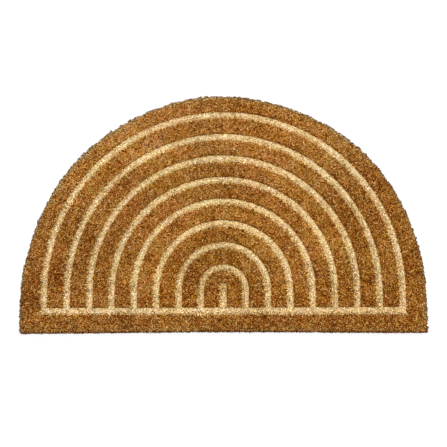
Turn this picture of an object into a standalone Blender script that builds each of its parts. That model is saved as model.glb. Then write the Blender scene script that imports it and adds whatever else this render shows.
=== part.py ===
"""Half-round coir doormat: one flat solid whose pattern of arches is sunk into its pile.

Metres, +Z up. X runs along the straight front edge and +Y towards the top of the arches. The origin is
the middle of the box round the underside, so the mat lies on the plane z = 0.
"""

import math
from typing import NamedTuple

import bmesh
import bpy
from mathutils import Matrix, Vector

MM = 0.001

# The outline: a half circle that stands on short straight sides
OUTLINE_RADIUS = 375.1 * MM
SIDE_HEIGHT = 73.2 * MM
THICKNESS = 15.0 * MM
FRONT_Y = -(OUTLINE_RADIUS + SIDE_HEIGHT) / 2
OUTLINE_CENTRE_X = 1.1 * MM
OUTLINE_CENTRE_Y = FRONT_Y + SIDE_HEIGHT
ARC_STEPS = 120
SIDE_STEPS = 6
FRONT_STEPS = 24


class EdgeRow(NamedTuple):
    """How far the hand-cut edge lies outside its circle at an angle, 0 on the right and 90 at the top."""

    angle_deg: float
    outward: float


EDGE_ROWS = (
    EdgeRow(0.0, 0.3 * MM),
    EdgeRow(18.0, -1.5 * MM),
    EdgeRow(46.0, 0.8 * MM),
    EdgeRow(70.0, -0.9 * MM),
    EdgeRow(98.0, 1.4 * MM),
    EdgeRow(122.0, -1.1 * MM),
    EdgeRow(136.0, -0.3 * MM),
    EdgeRow(164.0, -1.9 * MM),
    EdgeRow(180.0, 1.6 * MM),
)
LEFT_FLARE = 1.4 * MM
RIGHT_FLARE = 0.9 * MM
FRONT_BOW = 1.0 * MM
LEFT_CORNER_RADIUS = 8.0 * MM
RIGHT_CORNER_RADIUS = 4.0 * MM
CORNER_STEPS = 4

# The pile rounds over along the whole upper edge
RIM_RADIUS = 3.0 * MM
RIM_STEPS = 3

# The bands: arches at an even pitch on a base bar, and a short bar under the smallest arch
PITCH = 41.3 * MM
ARCH_COUNT = 8
BAND_WIDTH = 11.0 * MM
BAND_DEPTH = 2.0 * MM
WALL_LEAN = 0.75 * MM
BASE_BAR_Y = FRONT_Y + 40.2 * MM
BASE_BAR_WIDTH = 12.5 * MM
ARCH_CENTRE_Y = BASE_BAR_Y + 39.9 * MM
CENTRE_BAR_TOP_Y = BASE_BAR_Y + 51.0 * MM
OUTER_ARCH_EXTRA = 1.5 * MM
FEWEST_ARCH_STEPS = 20
STEPS_PER_ARCH = 9
CUTTER_RISE = 2.0 * MM

COIR_COLOUR = (0.32, 0.13, 0.025, 1.0)
COIR_ROUGHNESS = 0.95


def clear_scene():
    """Removes every object that is there already."""
    for obj in list(bpy.data.objects):
        bpy.data.objects.remove(obj)


def edge_offset(angle_deg):
    """How far the outline lies outside its circle at this angle, eased from row to row."""
    for before, after in zip(EDGE_ROWS, EDGE_ROWS[1:]):
        if angle_deg <= after.angle_deg:
            share = (angle_deg - before.angle_deg) / (after.angle_deg - before.angle_deg)
            ease = (1 - math.cos(math.pi * share)) / 2
            return before.outward + (after.outward - before.outward) * ease
    return EDGE_ROWS[-1].outward


def arc_points():
    """The round stretch, from the right-hand side over the top to the left."""
    points = []
    for step in range(ARC_STEPS + 1):
        angle_deg = 180.0 * step / ARC_STEPS
        radius = OUTLINE_RADIUS + edge_offset(angle_deg)
        angle = math.radians(angle_deg)
        x = OUTLINE_CENTRE_X + radius * math.cos(angle)
        y = OUTLINE_CENTRE_Y + radius * math.sin(angle)
        points.append((x, y))
    return points


def side_points(top_x, flare):
    """One straight side from its top down to the front corner, which lies further out by the flare."""
    front_y = FRONT_Y - FRONT_BOW
    points = []
    for step in range(1, SIDE_STEPS + 1):
        share = step / SIDE_STEPS
        x = top_x + flare * math.sin(math.pi / 2 * share)
        points.append((x, OUTLINE_CENTRE_Y + (front_y - OUTLINE_CENTRE_Y) * share))
    return points


def front_points(left_x, right_x):
    """The front edge between its corners, from left to right, bowed inwards at its middle."""
    points = []
    for step in range(1, FRONT_STEPS):
        share = step / FRONT_STEPS
        y = FRONT_Y - FRONT_BOW * math.cos(2 * math.pi * share)
        points.append((left_x + (right_x - left_x) * share, y))
    return points


def outline():
    """(points, left corner, right corner) of the mat, anticlockwise."""
    arc = arc_points()
    left = side_points(arc[-1][0], -LEFT_FLARE)
    right = side_points(arc[0][0], RIGHT_FLARE)
    front = front_points(left[-1][0], right[-1][0])
    return arc + left + front + right[::-1], left[-1], right[-1]


def is_upright_at(edge, corner):
    """True if this edge stands on the given corner of the outline."""
    near = [(v.co.xy - Vector(corner)).length < 0.1 * MM for v in edge.verts]
    return all(near)


def round_corner(bm, corner, radius):
    """Rounds the upright edge that stands on a corner of the outline."""
    edges = [edge for edge in bm.edges if is_upright_at(edge, corner)]
    bmesh.ops.bevel(
        bm, geom=edges, offset=radius, offset_type="OFFSET", segments=CORNER_STEPS,
        profile=0.5, affect="EDGES", material=-1,
    )


def round_rim(bm):
    """Rounds over the whole edge of the upper face."""
    top = max(bm.faces, key=lambda face: face.calc_center_median().z)
    bmesh.ops.bevel(
        bm, geom=list(top.edges), offset=RIM_RADIUS, offset_type="OFFSET", segments=RIM_STEPS,
        profile=0.5, affect="EDGES", material=-1,
    )


def coir_material():
    """The matt brown of natural coir."""
    material = bpy.data.materials.new("coir")
    material.use_nodes = True
    shader = material.node_tree.nodes["Principled BSDF"]
    shader.inputs["Base Color"].default_value = COIR_COLOUR
    shader.inputs["Roughness"].default_value = COIR_ROUGHNESS
    shader.inputs["Metallic"].default_value = 0.0
    material.diffuse_color = COIR_COLOUR
    return material


def object_from(bm, name):
    """Puts a mesh, its faces turned outwards, into the scene as a named object."""
    bmesh.ops.recalc_face_normals(bm, faces=bm.faces)
    mesh = bpy.data.meshes.new(name)
    bm.to_mesh(mesh)
    bm.free()
    obj = bpy.data.objects.new(name, mesh)
    bpy.context.scene.collection.objects.link(obj)
    return obj


def draw_out(bm, face, way):
    """Extrudes a face along a vector. The face itself stays where it was."""
    geometry = bmesh.ops.extrude_face_region(bm, geom=[face])["geom"]
    verts = [item for item in geometry if isinstance(item, bmesh.types.BMVert)]
    bmesh.ops.translate(bm, vec=way, verts=verts)


def make_mat():
    """The uncut mat: its outline raised to full thickness, with round corners and a rounded rim."""
    points, left_corner, right_corner = outline()
    bm = bmesh.new()
    face = bm.faces.new([bm.verts.new((x, y, 0.0)) for x, y in points])
    draw_out(bm, face, Vector((0.0, 0.0, THICKNESS)))
    bmesh.ops.recalc_face_normals(bm, faces=bm.faces)
    round_corner(bm, left_corner, LEFT_CORNER_RADIUS)
    round_corner(bm, right_corner, RIGHT_CORNER_RADIUS)
    round_rim(bm)
    return object_from(bm, "coir_mat")


def band_section(width):
    """(offset, z) of a band's cross section: a flat floor between walls that lean outwards."""
    floor_z = THICKNESS - BAND_DEPTH
    top_z = THICKNESS + CUTTER_RISE
    half_floor = width / 2 - WALL_LEAN
    half_top = half_floor + 2 * WALL_LEAN * (top_z - floor_z) / BAND_DEPTH
    return ((-half_floor, floor_z), (half_floor, floor_z), (half_top, top_z), (-half_top, top_z))


def arch_cutter(number):
    """The space of one arch: its section spun through a half turn, then drawn down both legs."""
    radius = number * PITCH
    if number == ARCH_COUNT:
        radius += OUTER_ARCH_EXTRA
    steps = FEWEST_ARCH_STEPS + STEPS_PER_ARCH * number
    bm = bmesh.new()
    corners = [(radius + offset, ARCH_CENTRE_Y, z) for offset, z in band_section(BAND_WIDTH)]
    first_end = bm.faces.new([bm.verts.new(corner) for corner in corners])
    spun = bmesh.ops.spin(
        bm, geom=[first_end], cent=(0.0, ARCH_CENTRE_Y, 0.0), axis=(0.0, 0.0, 1.0),
        angle=math.pi, steps=steps, use_merge=False,
    )
    last_end = next(item for item in spun["geom_last"] if isinstance(item, bmesh.types.BMFace))
    for end in (first_end, last_end):
        draw_out(bm, end, Vector((0.0, BASE_BAR_Y - ARCH_CENTRE_Y, 0.0)))
        bm.faces.remove(end)
    return object_from(bm, f"cutter_arch_{number}")


def bar_cutter(name, low, high):
    """The space of a straight band between two corners of its plan, its four walls leaning outwards."""
    floor_z = THICKNESS - BAND_DEPTH
    size = Vector((high[0] - low[0], high[1] - low[1], BAND_DEPTH + CUTTER_RISE))
    middle = Vector(((low[0] + high[0]) / 2, (low[1] + high[1]) / 2, floor_z + size.z / 2))
    block = Matrix.Translation(middle) @ Matrix.Diagonal(size.to_4d())
    bm = bmesh.new()
    bmesh.ops.create_cube(bm, size=1.0, matrix=block)
    for vert in bm.verts:
        lean = WALL_LEAN * (2 * (vert.co.z - floor_z) / BAND_DEPTH - 1)
        vert.co.x += lean if vert.co.x > middle.x else -lean
        vert.co.y += lean if vert.co.y > middle.y else -lean
    return object_from(bm, name)


def make_cutters():
    """The spaces of all the bands: the base bar, the centre bar and the arches from the smallest out."""
    outer_leg = ARCH_COUNT * PITCH + OUTER_ARCH_EXTRA + BAND_WIDTH / 2
    half_bar = BASE_BAR_WIDTH / 2
    base_bar = bar_cutter(
        "cutter_base_bar", (-outer_leg, BASE_BAR_Y - half_bar), (outer_leg, BASE_BAR_Y + half_bar)
    )
    centre_bar = bar_cutter(
        "cutter_centre_bar", (-BAND_WIDTH / 2, BASE_BAR_Y), (BAND_WIDTH / 2, CENTRE_BAR_TOP_Y)
    )
    arches = [arch_cutter(number) for number in range(1, ARCH_COUNT + 1)]
    return [base_bar, centre_bar] + arches


def sink_bands(mat, cutters):
    """Takes the bands out of the mat's upper face."""
    for cutter in cutters:
        cutter.hide_render = True
        cutter.display_type = "WIRE"
        cut = mat.modifiers.new(cutter.name, "BOOLEAN")
        cut.operation = "DIFFERENCE"
        cut.solver = "EXACT"
        cut.object = cutter


def main():
    """Makes the mat, dresses it and sinks its bands."""
    clear_scene()
    mat = make_mat()
    mat.data.materials.append(coir_material())
    sink_bands(mat, make_cutters())


if __name__ == "__main__":
    main()
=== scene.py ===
"""The look of a half-round coir doormat: bristly brown pile with cream arches sunk into it.

Metres, +Z up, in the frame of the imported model. X runs along the straight front edge, and +Y towards the
top of the arches. The mat is built up as the real one is: a matted base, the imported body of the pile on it,
and over that the cut fibres one by one, as joined meshes. Their tips lie where the solid's upper faces do.
"""

import logging
import math
from dataclasses import dataclass, fields
from enum import Enum, IntEnum
from typing import ClassVar, NamedTuple

import bmesh
import bpy
import numpy as np
from mathutils import Matrix, Vector


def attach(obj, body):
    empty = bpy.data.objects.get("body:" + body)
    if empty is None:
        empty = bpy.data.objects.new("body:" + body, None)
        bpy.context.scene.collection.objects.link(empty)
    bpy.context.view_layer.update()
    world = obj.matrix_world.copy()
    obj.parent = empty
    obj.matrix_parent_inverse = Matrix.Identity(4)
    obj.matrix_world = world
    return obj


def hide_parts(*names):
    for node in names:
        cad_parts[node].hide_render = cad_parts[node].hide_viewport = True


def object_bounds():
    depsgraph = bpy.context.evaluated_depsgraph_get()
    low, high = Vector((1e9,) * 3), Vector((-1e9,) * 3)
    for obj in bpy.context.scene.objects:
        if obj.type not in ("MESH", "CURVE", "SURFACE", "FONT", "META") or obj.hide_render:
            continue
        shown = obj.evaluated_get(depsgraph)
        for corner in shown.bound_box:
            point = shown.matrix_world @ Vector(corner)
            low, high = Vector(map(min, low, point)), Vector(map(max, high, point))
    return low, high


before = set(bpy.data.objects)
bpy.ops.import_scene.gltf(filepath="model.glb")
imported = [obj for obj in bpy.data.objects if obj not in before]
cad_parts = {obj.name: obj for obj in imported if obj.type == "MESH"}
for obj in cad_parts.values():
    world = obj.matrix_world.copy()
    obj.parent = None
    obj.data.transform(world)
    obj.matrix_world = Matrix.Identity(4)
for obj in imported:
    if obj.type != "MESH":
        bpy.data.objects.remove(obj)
CAD_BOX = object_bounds()

MM = 0.001
BODY = "root"
CAD_NODE = "coir_mat"
IMAGE_SIDE = 447
PILE_MAP = "OFBake"
RANDOM_SEED = 20
WHITE = (1.0, 1.0, 1.0, 1.0)

log = logging.getLogger("coir_doormat")

Colour = tuple[float, float, float]
Place = tuple[float, float]
Fed = bpy.types.NodeSocket | float | tuple[float, ...]
Sockets = bpy.types.bpy_prop_collection

# What random values are drawn from: (lowest, highest) of an even spread, (middle, spread) of a bell curve
Even = tuple[float, float]
Bell = tuple[float, float]


class Slot(Enum):
    """The record's material slots."""

    BROWN = "coir_brown"
    CREAM = "coir_cream"
    BASE = "coir_base"


class Hue(IntEnum):
    """The hues that single fibres of both colours have, in the order of their strips on the colour map."""

    OLIVE = 0
    GOLD = 1
    ROSY = 2
    ORANGE = 3


class BrownHue(IntEnum):
    """The further hues of brown fibres."""

    FADED = 4
    DULL = 5


class CreamHue(IntEnum):
    """The further hue of cream fibres."""

    WARMER = 4


class Join(Enum):
    """What is done with solids that meet."""

    ADD = "UNION"
    CUT = "DIFFERENCE"


HUE_COUNT = len(Hue) + len(BrownHue)


def srgb(colour: Colour) -> tuple[float, float, float, float]:
    """Turns a display colour into the linear colour that a shader takes.

    Args:
        colour: red, green and blue, from 0 to 255.

    Returns:
        Linear red, green and blue, and an alpha of 1.
    """
    parts = np.array(colour) / 255
    linear = np.where(parts <= 0.04045, parts / 12.92, ((parts + 0.055) / 1.055) ** 2.4)
    return (*linear.tolist(), 1.0)


def quarter_turn(ways: np.ndarray) -> np.ndarray:
    """Vectors of the plan, a row each, turned a quarter to the left."""
    return np.c_[-ways[:, 1], ways[:, 0]]


@dataclass(frozen=True)
class Ramp:
    """A value that runs straight from low at start to high at end, and stays level beyond them."""

    start: float
    end: float
    low: float = 0.0
    high: float = 1.0

    def at(self, values: np.ndarray) -> np.ndarray:
        """Reads the ramp at each value."""
        return np.interp(values, (self.start, self.end), (self.low, self.high))


# How much a thing faces some way: the cosine between them, and 0 where it turns its back
FACING = Ramp(0.0, 1.0)


@dataclass(frozen=True)
class SoftNoise:
    """Smooth random values over the mat's plan: a seeded lattice, eased between its points."""

    cell: float
    seed: int
    reach: float = 0.42

    def at(self, places: np.ndarray) -> np.ndarray:
        """Reads the noise.

        Args:
            places: x and y of each place, in metres, a row each.

        Returns:
            A value for each place, about 0 with a spread of about 0.7.
        """
        count = int(2 * self.reach / self.cell) + 3
        lattice = np.random.default_rng(self.seed).standard_normal((count, count))
        cells = (places[..., :2] + self.reach) / self.cell
        column, row = np.moveaxis(np.floor(cells).astype(int), -1, 0)
        share = cells - np.floor(cells)
        right, up = np.moveaxis(share * share * (3 - 2 * share), -1, 0)
        low = lattice[row, column] * (1 - right) + lattice[row, column + 1] * right
        high = lattice[row + 1, column] * (1 - right) + lattice[row + 1, column + 1] * right
        return low * (1 - up) + high * up


@dataclass(frozen=True)
class Patches:
    """Wide patches with small ones in them: two noises, each with its own weight."""

    wide: SoftNoise
    small: SoftNoise
    wide_weight: float
    small_weight: float

    def at(self, places: np.ndarray) -> np.ndarray:
        """Reads both noises as one."""
        return self.wide_weight * self.wide.at(places) + self.small_weight * self.small.at(places)


TONE_PATCHES = Patches(SoftNoise(60 * MM, 11), SoftNoise(9 * MM, 12), 1.0, 0.6)
RUDDY_PATCHES = Patches(SoftNoise(80 * MM, 22), SoftNoise(10 * MM, 18), 0.6, 0.7)
GOLD_PATCHES = Patches(SoftNoise(80 * MM, 19), SoftNoise(12 * MM, 20), 0.6, 0.6)
DULL_PATCHES = SoftNoise(7 * MM, 23)
GRAIN = SoftNoise(1.75 * MM, 17)
LAY_X = SoftNoise(17 * MM, 13)
LAY_Y = SoftNoise(17 * MM, 14)
BAND_WIDTH = SoftNoise(45 * MM, 21)
BAND_EDGE = SoftNoise(5 * MM, 15)
CUT_EDGE = SoftNoise(3.6 * MM, 16)

# The way the pile leans, and how far its grooves lie off the solid's so that its tips end where they should
LAY = np.array([-0.67, -0.74])
GROOVE_SHIFT = np.array([-0.2, 0.7]) * MM


@dataclass(frozen=True)
class Outline:
    """The mat's cut outline: a half circle that stands on short straight sides, a little uneven."""

    radius: float = 375.1 * MM
    side_height: float = 73.2 * MM
    centre_x: float = 1.1 * MM
    row_angles: tuple[float, ...] = (0, 18, 46, 70, 98, 122, 136, 164, 180)
    row_outward: tuple[float, ...] = (0.3, -1.5, 0.8, -0.9, 1.4, -1.1, -0.3, -1.9, 1.6)
    left_flare: float = 1.4 * MM
    right_flare: float = 0.9 * MM
    front_bow: float = 1.0 * MM
    left_corner: float = 8.0 * MM
    right_corner: float = 4.0 * MM
    arc_points: int = 721
    side_points: int = 60
    front_points: int = 400

    @property
    def front_y(self) -> float:
        """Where the straight front edge lies."""
        return -(self.radius + self.side_height) / 2

    @property
    def centre_y(self) -> float:
        """Where the half circle starts."""
        return self.front_y + self.side_height

    def arc_radius(self, angle_deg: np.ndarray) -> np.ndarray:
        """The outline's radius round the half circle, eased from row to row.

        Args:
            angle_deg: the angles, 0 on the right and 90 at the top.

        Returns:
            The radius at each angle.
        """
        angles = np.array(self.row_angles, float)
        outward = np.array(self.row_outward) * MM
        angle_deg = np.clip(angle_deg, angles[0], angles[-1])
        row = np.clip(np.searchsorted(angles, angle_deg) - 1, 0, len(angles) - 2)
        share = (angle_deg - angles[row]) / (angles[row + 1] - angles[row])
        ease = (1 - np.cos(math.pi * share)) / 2
        return self.radius + outward[row] + (outward[row + 1] - outward[row]) * ease

    def side_x(self, y: np.ndarray) -> tuple[np.ndarray, np.ndarray]:
        """Where the straight sides lie.

        Args:
            y: places below the half circle.

        Returns:
            The left side's x and the right side's x at each y.
        """
        share = np.clip((self.centre_y - y) / self.side_height, 0, 1)
        flare = np.sin(math.pi / 2 * share)
        left = self.centre_x - self.radius - self.row_outward[-1] * MM - self.left_flare * flare
        right = self.centre_x + self.radius + self.row_outward[0] * MM + self.right_flare * flare
        return left, right

    def front_depth(self, places: np.ndarray) -> np.ndarray:
        """How far behind the bowed front edge each place lies.

        Args:
            places: x and y, in metres, a row each.

        Returns:
            The distance, below 0 in front of the edge.
        """
        left, right = self.side_x(places[..., 1])
        share = (places[..., 0] - left) / (right - left)
        return places[..., 1] - self.front_y + self.front_bow * np.cos(2 * math.pi * share)

    def depth(self, places: np.ndarray) -> np.ndarray:
        """How far inside the outline each place lies.

        Args:
            places: x and y, in metres, a row each.

        Returns:
            The distance in from the edge, below 0 outside it.
        """
        x, y = places[..., 0], places[..., 1]
        out_x = x - self.centre_x
        out_y = y - self.centre_y
        angle_deg = np.degrees(np.arctan2(np.maximum(out_y, 0), out_x))
        in_arc = self.arc_radius(angle_deg) - np.hypot(out_x, out_y)
        left, right = self.side_x(y)
        in_front = self.front_depth(places)
        in_left = self.in_corner(x - left, in_front, self.left_corner)
        in_right = self.in_corner(right - x, in_front, self.right_corner)
        return np.where(out_y > 0, in_arc, np.minimum(in_left, in_right))

    @staticmethod
    def in_corner(from_side: np.ndarray, from_front: np.ndarray, radius: float) -> np.ndarray:
        """How far inside two edges, which meet in a round corner, each place lies.

        Args:
            from_side, from_front: the distances in from both edges.
            radius: the corner's radius.

        Returns:
            The distance in from the nearer edge or from the corner, below 0 outside.
        """
        nearest = np.minimum(from_side, from_front)
        round_off = radius - np.hypot(radius - from_side, radius - from_front)
        near_corner = (from_side < radius) & (from_front < radius)
        return np.where(near_corner, round_off, nearest)

    def loop(self) -> np.ndarray:
        """Draws the closed outline, anticlockwise from the right-hand side's top.

        Returns:
            Its points, close together, a row each, with the first one again at the end.
        """
        angles = np.linspace(0, 180, self.arc_points)
        radius = self.arc_radius(angles)
        turned = np.radians(angles)
        arc = np.c_[self.centre_x + radius * np.cos(turned), self.centre_y + radius * np.sin(turned)]
        side_y = np.linspace(self.centre_y, self.front_y - self.front_bow, self.side_points)[1:]
        left_x, right_x = self.side_x(side_y)
        left = np.c_[left_x, side_y]
        right = np.c_[right_x, side_y][::-1]
        share = np.linspace(0, 1, self.front_points)[1:-1]
        front_x = left_x[-1] + (right_x[-1] - left_x[-1]) * share
        front_y = self.front_y - self.front_bow * np.cos(2 * math.pi * share)
        loop = np.vstack([arc, left, np.c_[front_x, front_y], right, arc[:1]])
        for corner, size in ((left[-1], self.left_corner), (right[0], self.right_corner)):
            middle = corner + size * np.array([-math.copysign(1, corner[0]), 1])
            away = loop - middle
            beyond = (away * np.sign(corner - middle) > 0).all(1)
            away[beyond] *= (size / np.linalg.norm(away[beyond], axis=1))[:, None]
            loop = np.where(beyond[:, None], middle + away, loop)
        return loop

    def points(self, inset: float, step: float) -> tuple[np.ndarray, np.ndarray]:
        """Evenly spaced points round the outline, anticlockwise from the right-hand side's top.

        Args:
            inset: how far inside the cut edge they lie.
            step: the distance between neighbours.

        Returns:
            The points and the unit vectors that point out of the mat there, a row each.
        """
        loop = self.loop()
        walked = np.r_[0, np.cumsum(np.linalg.norm(np.diff(loop, axis=0), axis=1))]
        places = np.arange(0, walked[-1] - step / 2, step)
        even = np.c_[np.interp(places, walked, loop[:, 0]), np.interp(places, walked, loop[:, 1])]
        along = np.roll(even, -1, 0) - np.roll(even, 1, 0)
        outward = -quarter_turn(along) / np.linalg.norm(along, axis=1)[:, None]
        return even - outward * inset, outward


@dataclass(frozen=True)
class Bands:
    """The cream pattern: arches at an even pitch on a base bar, and a short bar under the smallest arch."""

    front_y: float
    pitch: float = 41.3 * MM
    arch_count: int = 8
    outer_extra: float = 1.5 * MM
    width: float = 11.0 * MM
    bar_width: float = 12.5 * MM
    bar_up: float = 40.2 * MM
    arches_up: float = 39.9 * MM
    centre_bar_up: float = 51.0 * MM
    slope_step: float = 0.2 * MM

    @property
    def bar_y(self) -> float:
        """The middle line of the base bar."""
        return self.front_y + self.bar_up

    @property
    def arch_y(self) -> float:
        """The centre that the arches share."""
        return self.bar_y + self.arches_up

    @property
    def radii(self) -> list[float]:
        """The arches' radii, from the smallest out."""
        inner = [number * self.pitch for number in range(1, self.arch_count)]
        return inner + [self.arch_count * self.pitch + self.outer_extra]

    @property
    def half_bar(self) -> float:
        """How far the base bar reaches to each side."""
        return self.radii[-1] + self.width / 2

    def clear(self, places: np.ndarray) -> np.ndarray:
        """How far outside the bands each place lies.

        Args:
            places: x and y, in metres, a row each.

        Returns:
            The distance to the nearest band's edge, below 0 inside a band.
        """
        x, y = places[..., 0], places[..., 1]
        from_centre = np.hypot(x, y - self.arch_y)
        below = np.maximum(self.bar_y - y, 0)
        nearest = self.box_distance(x, y - self.bar_y, self.half_bar, self.bar_width / 2)
        middle_up = self.centre_bar_up / 2
        centre_bar = self.box_distance(x, y - self.bar_y - middle_up, self.width / 2, middle_up)
        nearest = np.minimum(nearest, centre_bar)
        for radius in self.radii:
            off_ring = np.abs(np.where(y > self.arch_y, from_centre, np.abs(x)) - radius)
            nearest = np.minimum(nearest, np.hypot(off_ring, below) - self.width / 2)
        return nearest

    @staticmethod
    def box_distance(x: np.ndarray, y: np.ndarray, half_x: float, half_y: float) -> np.ndarray:
        """How far outside a rectangle round the origin each place lies.

        Args:
            x, y: the places.
            half_x, half_y: how far the rectangle reaches to each side.

        Returns:
            The distance, below 0 inside the rectangle.
        """
        out_x = np.abs(x) - half_x
        out_y = np.abs(y) - half_y
        outside = np.hypot(np.maximum(out_x, 0), np.maximum(out_y, 0))
        return outside + np.minimum(np.maximum(out_x, out_y), 0)

    def outward(self, places: np.ndarray) -> np.ndarray:
        """The way out of the nearest band.

        Args:
            places: x and y, in metres, a row each.

        Returns:
            A vector for each place, of length 1 but close to a band's middle line.
        """
        step = self.slope_step
        slopes = [self.clear(places + way) - self.clear(places - way) for way in ((step, 0.0), (0.0, step))]
        return np.stack(slopes, -1) / (2 * step)

    def arch_row(self, radius: float, step: float) -> tuple[np.ndarray, np.ndarray]:
        """Evenly spaced places along an arch and both its legs.

        Args:
            radius: the row's radius.
            step: the distance between neighbours, which is rounded to fill the row.

        Returns:
            The places and the unit vectors that point outwards from the arch there, a row each.
        """
        leg = self.arches_up
        turn = math.pi * radius
        count = round((2 * leg + turn) / step)
        walked = (np.arange(count) + 0.5) * (2 * leg + turn) / count
        angle = np.clip((walked - leg) / radius, 0, math.pi)
        drop = np.maximum(leg - walked, 0) + np.maximum(walked - leg - turn, 0)
        outward = np.c_[np.cos(angle), np.sin(angle)]
        points = radius * outward
        points[:, 1] += self.arch_y - drop
        return points, outward

    @staticmethod
    def straight_row(start: Place, end: Place, step: float) -> tuple[np.ndarray, np.ndarray]:
        """Evenly spaced places along a straight line.

        Args:
            start, end: x and y of the line's ends.
            step: the distance between neighbours, which is rounded to fill the row.

        Returns:
            The places and the unit vectors square to the line, a row each.
        """
        span = np.array(end) - np.array(start)
        length = float(np.linalg.norm(span))
        count = max(1, round(length / step))
        share = (np.arange(count) + 0.5) / count
        points = np.array(start) + share[:, None] * span
        return points, np.repeat([[span[1], -span[0]]], count, 0) / length


@dataclass
class Fibres:
    """Many fibres, a row each: where they run, how they are bowed and turned, and their tone and hue."""

    root: np.ndarray
    tip: np.ndarray
    bow: np.ndarray
    width: np.ndarray
    turn: np.ndarray
    tone: np.ndarray
    hue: np.ndarray

    def only(self, keep: np.ndarray) -> "Fibres":
        """The fibres that a mask or a list of rows picks."""
        return Fibres(*(getattr(self, part.name)[keep] for part in fields(self)))

    @staticmethod
    def together(batches: list["Fibres"]) -> "Fibres":
        """Several batches as one."""
        names = [part.name for part in fields(Fibres)]
        return Fibres(*(np.concatenate([getattr(one, name) for one in batches]) for name in names))


class Joint(NamedTuple):
    """A bend of a fibre: its height and the fibre's width there, as shares of the whole."""

    height: float
    width: float


class FibreShape:
    """One fibre that all others copy: three-sided, drawn to a point at its root, cut square at its tip."""

    SIDES: ClassVar[int] = 3
    MERGE: ClassVar[float] = 1e-5
    STEEP: ClassVar[float] = 0.7
    TONES: ClassVar[tuple[float, float]] = (0.03, 0.97)
    WIDTH_ON_MAP: ClassVar[float] = 1 / 512
    TIP_ON_MAP: ClassVar[float] = 0.02

    def __init__(self, *joints: Joint) -> None:
        """Makes the fibre, 1 wide and 1 high.

        Args:
            joints: its bends between root and tip.
        """
        half = 0.5
        upright = Matrix.Translation((0, 0, half)) @ Matrix.Rotation(math.pi, 4, "X")
        bm = bmesh.new()
        bmesh.ops.create_cone(
            bm, cap_ends=True, cap_tris=False, segments=self.SIDES, radius1=half, radius2=0.0, depth=1.0,
            matrix=upright,
        )
        bmesh.ops.remove_doubles(bm, verts=bm.verts, dist=self.MERGE)
        for joint in joints:
            cut = bmesh.ops.bisect_plane(
                bm, geom=bm.verts[:] + bm.edges[:] + bm.faces[:],
                plane_co=(0, 0, joint.height), plane_no=(0, 0, 1), dist=self.MERGE / 10,
            )
            for vert in cut["geom_cut"]:
                if isinstance(vert, bmesh.types.BMVert):
                    vert.co.xy *= joint.width * half / vert.co.xy.length
        bmesh.ops.triangulate(bm, faces=bm.faces)
        bmesh.ops.recalc_face_normals(bm, faces=bm.faces)
        bm.verts.ensure_lookup_table()
        self.points = np.array([vert.co for vert in bm.verts])
        self.triangles = np.array([[vert.index for vert in face.verts] for face in bm.faces])
        bm.free()

    def spread(self, fibres: Fibres) -> tuple[np.ndarray, np.ndarray, np.ndarray]:
        """Copies the shape to every fibre.

        Args:
            fibres: where each copy runs, and how it is turned, bowed and toned.

        Returns:
            The joined mesh's points, its triangles and each point's place on the colour map.
        """
        span = fibres.tip - fibres.root
        way = span / np.linalg.norm(span, axis=1)[:, None]
        level = np.where(np.abs(way[:, 2:]) > self.STEEP, [[1.0, 0.0, 0.0]], [[0.0, 0.0, 1.0]])
        side = np.cross(level, way)
        side /= np.linalg.norm(side, axis=1)[:, None]
        front = np.cross(way, side)
        turn = fibres.turn[:, None]
        across = np.cos(turn) * side + np.sin(turn) * front
        through = np.cos(turn) * front - np.sin(turn) * side
        share = self.points[None, :, 2:]
        width = fibres.width[:, None, None]
        places = fibres.root[:, None] + span[:, None] * share
        places = places + fibres.bow[:, None] * 4 * share * (1 - share)
        places = places + width * self.points[None, :, :1] * across[:, None]
        places = places + width * self.points[None, :, 1:2] * through[:, None]
        first = np.arange(len(span))[:, None, None] * len(self.points)
        triangles = (self.triangles[None] + first).reshape(-1, 3)
        return places.reshape(-1, 3), triangles, self.on_map(fibres)

    def on_map(self, fibres: Fibres) -> np.ndarray:
        """Finds each point's place on the colour map.

        Across the map lie the hues, a strip each, and in a strip the tones. Up it goes a fibre's height. A
        fibre covers a little of both, so that none of its triangles is drawn to nothing there.

        Args:
            fibres: the fibres that the shape is copied to.

        Returns:
            The places, a row for each point of each fibre.
        """
        colour = (fibres.hue + np.clip(fibres.tone, *self.TONES)) / HUE_COUNT
        colour = colour[:, None] + self.points[None, :, 0] * self.WIDTH_ON_MAP
        height = (self.points[:, 2] + self.points[:, 1] * self.TIP_ON_MAP) * (1 - self.TIP_ON_MAP)
        on_map = np.stack([colour, np.broadcast_to(height, colour.shape)], 2)
        return np.clip(on_map.reshape(-1, 2), 0, 1)


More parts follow.
